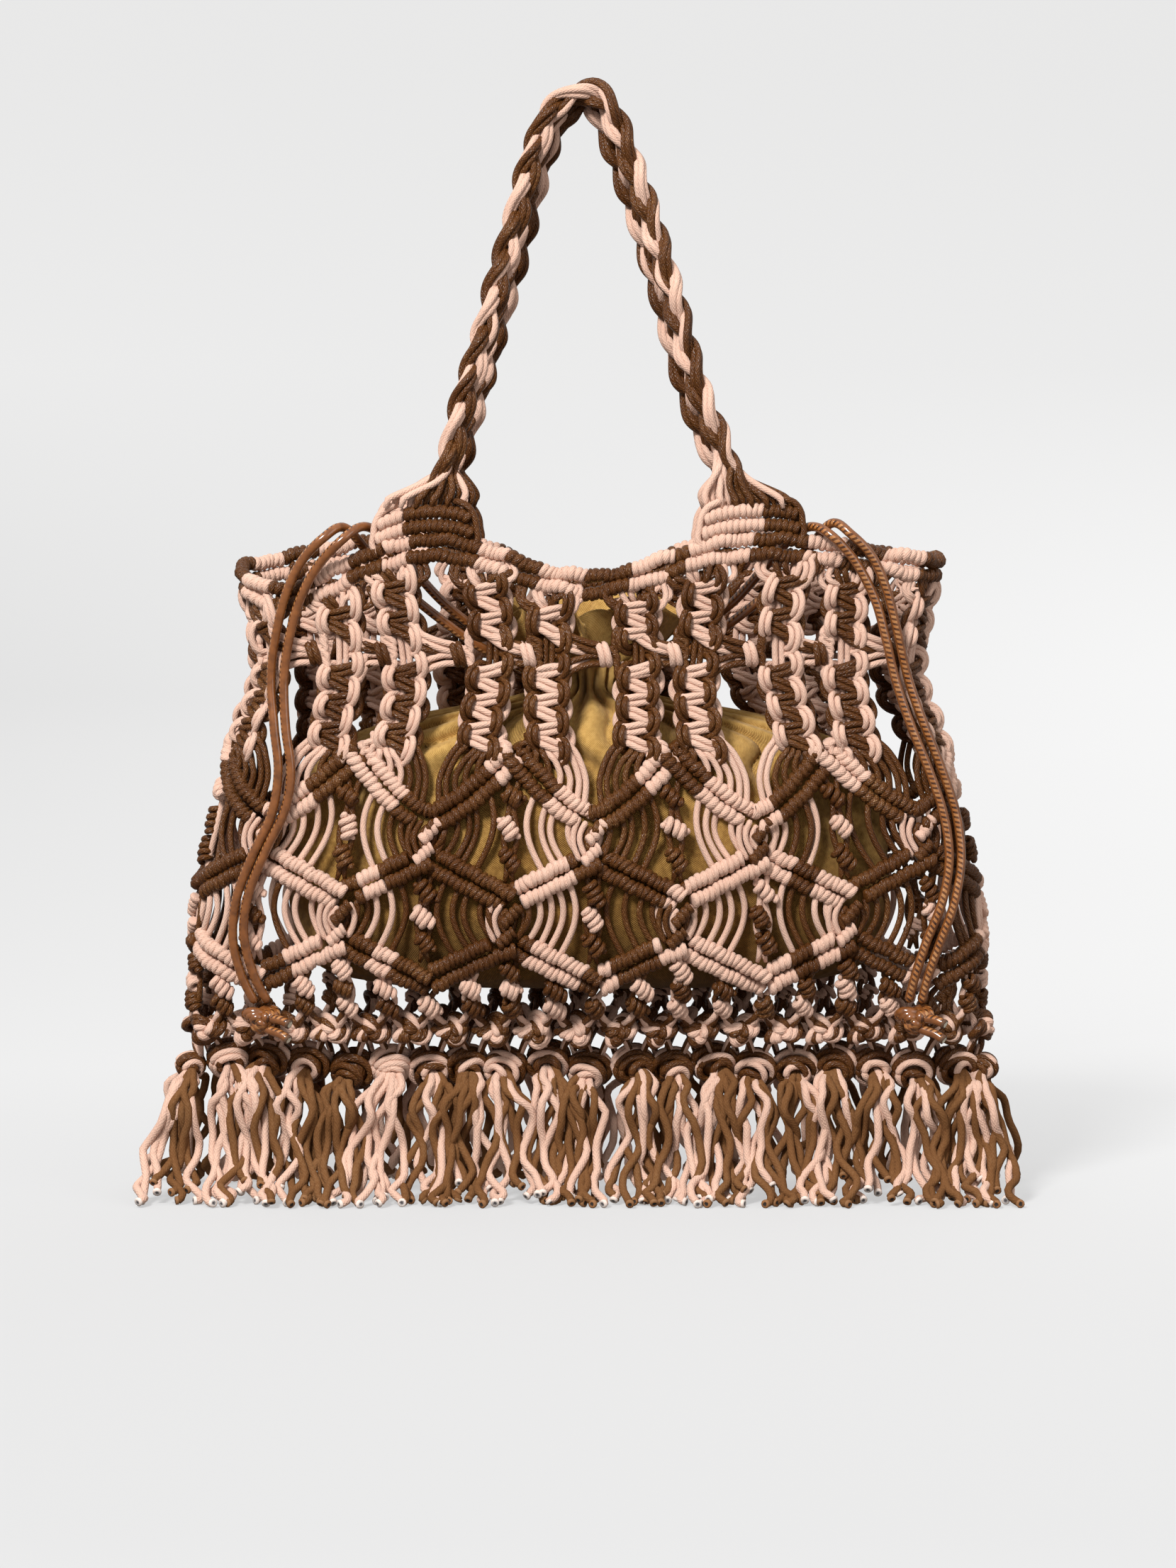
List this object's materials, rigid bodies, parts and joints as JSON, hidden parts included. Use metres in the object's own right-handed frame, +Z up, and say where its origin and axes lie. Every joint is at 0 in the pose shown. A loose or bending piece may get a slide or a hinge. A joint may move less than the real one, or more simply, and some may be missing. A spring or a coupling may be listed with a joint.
{
  "type": "net bag",
  "caption": "Knotted cord net bag in two cord colours with braided handles, a tassel fringe, a gathered canvas pouch inside and leather drawstrings.",
  "frame": {"origin": "middle of the fringe's foot, on the floor", "axes": "+X to the right across the bag, +Y from the front to the back, +Z up towards the handles"},
  "size_m": [0.4288, 0.0988, 0.5265],
  "materials": {
    "pink_cord": "matt braided cotton cord",
    "brown_cord": "waxed braided cord with small highlights",
    "canvas": "plain woven cotton canvas",
    "leather": "smooth rolled lace with a stitched seam"
  },
  "bodies": {
    "root": {"net_upper": "pink_cord", "net_diamonds": "brown_cord", "net_lower": "pink_cord", "rim": "pink_cord", "tab_front_left": "brown_cord", "tab_back_left": "brown_cord", "tab_front_right": "pink_cord", "tab_back_right": "pink_cord", "handle_front": "brown_cord", "handle_back": "brown_cord", "canvas_pouch": "canvas", "fringe": "brown_cord", "lace_left_outer": "leather", "lace_left_inner": "leather", "lace_right_outer": "leather", "lace_right_inner": "leather", "lace_knot_left": "leather", "lace_knot_right": "leather"}
  },
  "joints": []
}
